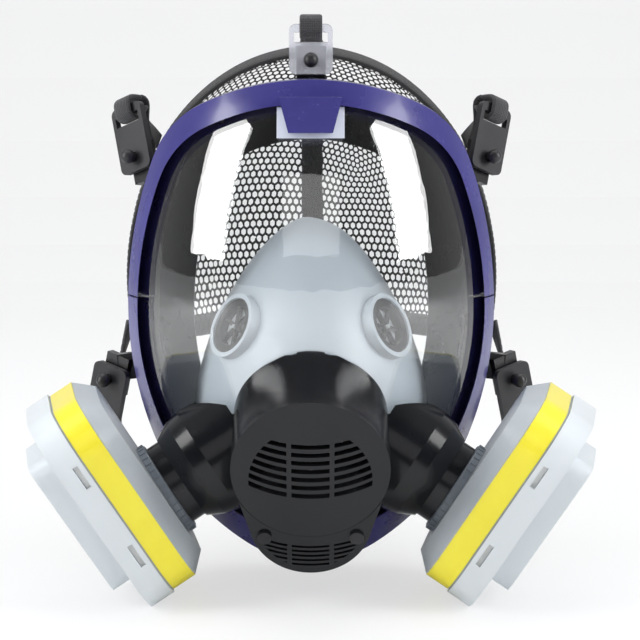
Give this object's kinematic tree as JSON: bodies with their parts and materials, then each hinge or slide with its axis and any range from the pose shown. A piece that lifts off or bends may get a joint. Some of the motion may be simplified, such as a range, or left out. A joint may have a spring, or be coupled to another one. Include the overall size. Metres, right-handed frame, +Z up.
{
  "type": "full face respirator",
  "caption": "Full face respirator: wide curved lens in a clamped frame, rubber face seal, inner nose cup, front speech and exhalation port, twist-on cartridges and net head harness.",
  "frame": {"origin": "Bottom centre of the bounding box, on the surface that the respirator stands on.", "axes": "+X is the viewer's right, +Y runs from the lens back to the head harness, +Z is up."},
  "size_m": [0.2544, 0.2532, 0.2557],
  "materials": {
    "lens_polycarbonate": "clear hard-coated plastic, wide curve",
    "frame_violet": "violet-blue, satin to gloss",
    "dark_screws": "blackened",
    "pale_plate": "pale grey, smooth",
    "seal_rubber": "black, glossy inside",
    "buckle_black": "black, fine grain",
    "buckle_clear": "frosted clear plastic",
    "port_black": "black satin",
    "diaphragm_film": "thin formed foil",
    "valve_black": "black moulded",
    "flap_rubber": "thin silicone",
    "nose_cup_silicone": "translucent grey-white silicone",
    "net_fabric": "black open-mesh knit",
    "tape_fabric": "black binding",
    "strap_webbing": "charcoal elastic webbing",
    "cartridge_grey": "light grey",
    "ring_grey": "blue-grey",
    "screen_white": "white perforated plastic",
    "sorbent_black": "granular activated carbon",
    "label_yellow": "plain yellow film, left unprinted",
    "pad_white": "white fibre felt",
    "retainer_clear": "translucent white"
  },
  "bodies": {
    "facepiece": {"brow_plate": "pale_plate", "buckle_studs": "buckle_black", "cheek_valve_left": "valve_black", "cheek_valve_right": "valve_black", "clamp_screws": "dark_screws", "cover_screws": "dark_screws", "exhale_cover": "port_black", "exhale_seat": "valve_black", "face_seal": "seal_rubber", "frame_lower": "frame_violet", "frame_upper": "frame_violet", "harness_crown_band": "tape_fabric", "harness_edge_tape": "tape_fabric", "harness_nape_band": "tape_fabric", "harness_net": "net_fabric", "inlet_port_left": "port_black", "inlet_port_right": "port_black", "lens": "lens_polycarbonate", "nose_cup": "nose_cup_silicone", "port_gasket": "seal_rubber", "port_housing": "port_black", "port_lock_nut": "port_black", "speech_cover": "port_black", "speech_diaphragm": "diaphragm_film", "speech_ring": "port_black", "strap_cheek_left": "strap_webbing", "strap_cheek_right": "strap_webbing", "strap_temple_left": "strap_webbing", "strap_temple_right": "strap_webbing", "strap_top": "strap_webbing"},
    "cartridge_left": {"cartridge_shell_left": "cartridge_grey", "bayonet_ring_left": "ring_grey", "inner_screen_left": "screen_white", "sorbent_bed_left": "sorbent_black", "outer_screen_left": "screen_white", "label_band_left": "label_yellow", "filter_pad_left": "pad_white", "retainer_left": "retainer_clear"},
    "cartridge_right": {"cartridge_shell_right": "cartridge_grey", "bayonet_ring_right": "ring_grey", "inner_screen_right": "screen_white", "sorbent_bed_right": "sorbent_black", "outer_screen_right": "screen_white", "label_band_right": "label_yellow", "filter_pad_right": "pad_white", "retainer_right": "retainer_clear"},
    "top_buckle": {"buckle_top": "buckle_clear"},
    "temple_left_buckle": {"buckle_temple_left": "buckle_black"},
    "temple_right_buckle": {"buckle_temple_right": "buckle_black"},
    "cheek_left_buckle": {"buckle_cheek_left": "buckle_black"},
    "cheek_right_buckle": {"buckle_cheek_right": "buckle_black"},
    "cheek_flap_left": {"cheek_flap_left": "flap_rubber"},
    "cheek_flap_right": {"cheek_flap_right": "flap_rubber"},
    "exhale_flap": {"exhale_flap": "flap_rubber"}
  },
  "joints": [
    {"name": "cartridge_left_twist", "type": "hinge", "parent": "facepiece", "child": "cartridge_left", "pos_m": [-0.062, -0.06257, 0.04982], "axis": [0.8311, 0.1302, 0.5407], "range_deg": [0, 90]},
    {"name": "cartridge_right_twist", "type": "hinge", "parent": "facepiece", "child": "cartridge_right", "pos_m": [0.062, -0.06257, 0.04982], "axis": [0.8311, -0.1302, -0.5407], "range_deg": [0, 90]},
    {"name": "buckle_top_swivel", "type": "hinge", "parent": "facepiece", "child": "top_buckle", "pos_m": [0, -0.03457, 0.23482], "axis": [0, -0.9929, 0.1191], "range_deg": [-6, 6]},
    {"name": "buckle_temple_left_swivel", "type": "hinge", "parent": "facepiece", "child": "temple_left_buckle", "pos_m": [-0.078, -0.00857, 0.19082], "axis": [-0.6623, -0.7425, 0.1003], "range_deg": [-6, 6]},
    {"name": "buckle_cheek_left_swivel", "type": "hinge", "parent": "facepiece", "child": "cheek_left_buckle", "pos_m": [-0.092, -0.00357, 0.08782], "axis": [-0.5524, -0.8336, 0], "range_deg": [-6, 6]},
    {"name": "buckle_temple_right_swivel", "type": "hinge", "parent": "facepiece", "child": "temple_right_buckle", "pos_m": [0.078, -0.00857, 0.19082], "axis": [0.6623, -0.7425, 0.1003], "range_deg": [-6, 6]},
    {"name": "buckle_cheek_right_swivel", "type": "hinge", "parent": "facepiece", "child": "cheek_right_buckle", "pos_m": [0.092, -0.00357, 0.08782], "axis": [0.5524, -0.8336, 0], "range_deg": [-6, 6]},
    {"name": "cheek_flap_left_lift", "type": "slide", "parent": "facepiece", "child": "cheek_flap_left", "axis": [0.7612, 0.5155, -0.3936], "range_m": [0, 0.0015], "stiffness_N_per_m": 50},
    {"name": "cheek_flap_right_lift", "type": "slide", "parent": "facepiece", "child": "cheek_flap_right", "axis": [-0.7602, 0.5155, -0.3954], "range_m": [0, 0.0015], "stiffness_N_per_m": 50},
    {"name": "exhale_flap_lift", "type": "slide", "parent": "facepiece", "child": "exhale_flap", "axis": [0, -0.9272, -0.3746], "range_m": [0, 0.0015], "stiffness_N_per_m": 50}
  ]
}
